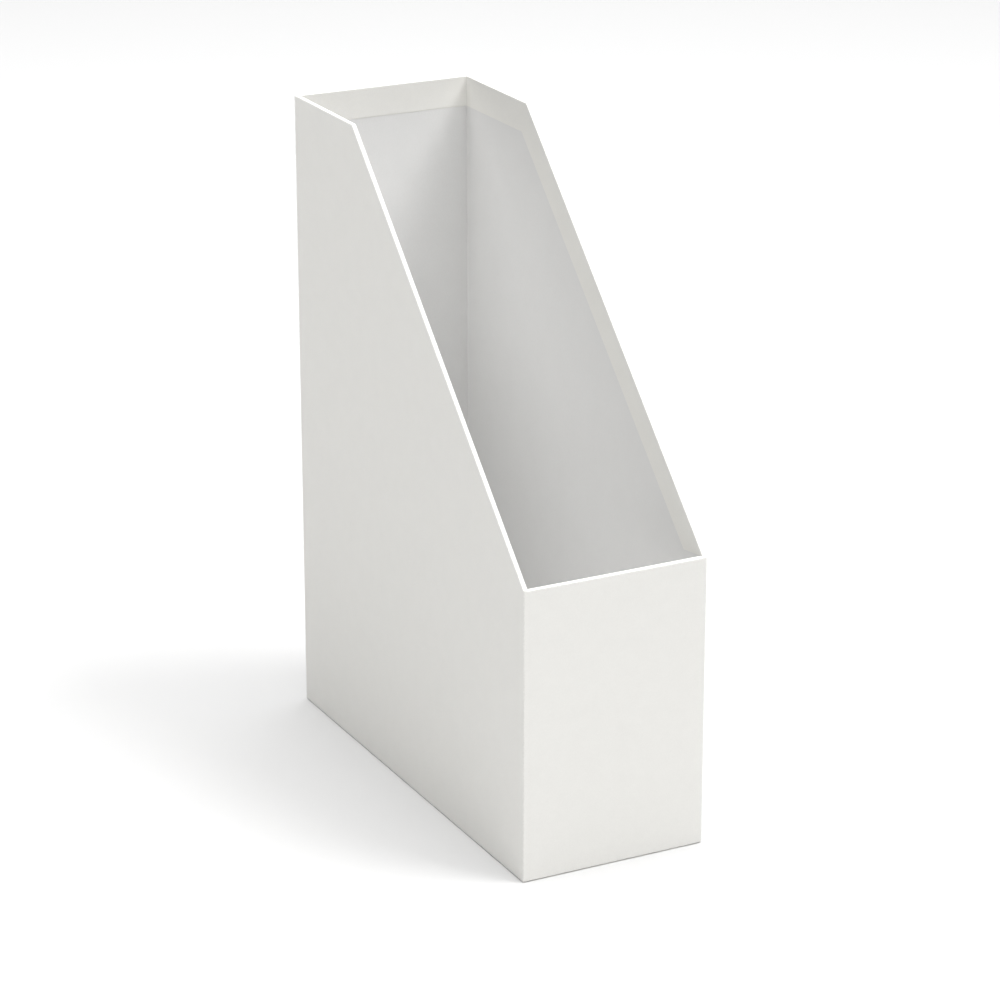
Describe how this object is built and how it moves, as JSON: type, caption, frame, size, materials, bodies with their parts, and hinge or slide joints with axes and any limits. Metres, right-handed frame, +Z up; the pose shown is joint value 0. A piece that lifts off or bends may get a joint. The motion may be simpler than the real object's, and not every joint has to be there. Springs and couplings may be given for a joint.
{
  "type": "magazine file holder",
  "caption": "White magazine file holder: a tall covered-board box, open at the top, with sloping sides and a low front wall.",
  "frame": {"origin": "middle of the underside, on the surface the holder stands on", "axes": "+Z up, the low front wall faces -Y, X is the width"},
  "size_m": [0.1, 0.256, 0.336],
  "materials": {
    "covering_paper": "matte off-white uncoated paper, pasted flat",
    "lining_paper": "matte white paper, slightly cooler and darker than the cover",
    "greyboard": "solid recycled greyboard, cut edges",
    "kraft_tape": "gummed brown kraft tape"
  },
  "bodies": {
    "root": {"left_side_board": "greyboard", "right_side_board": "greyboard", "back_board": "greyboard", "front_board": "greyboard", "base_board": "greyboard", "left_side_lining": "lining_paper", "right_side_lining": "lining_paper", "back_lining": "lining_paper", "front_lining": "lining_paper", "floor_lining": "lining_paper", "front_left_corner_stay": "kraft_tape", "front_right_corner_stay": "kraft_tape", "back_left_corner_stay": "kraft_tape", "back_right_corner_stay": "kraft_tape", "left_base_stay": "kraft_tape", "right_base_stay": "kraft_tape", "front_base_stay": "kraft_tape", "back_base_stay": "kraft_tape", "cover_paper": "covering_paper", "base_paper": "covering_paper"}
  },
  "joints": []
}
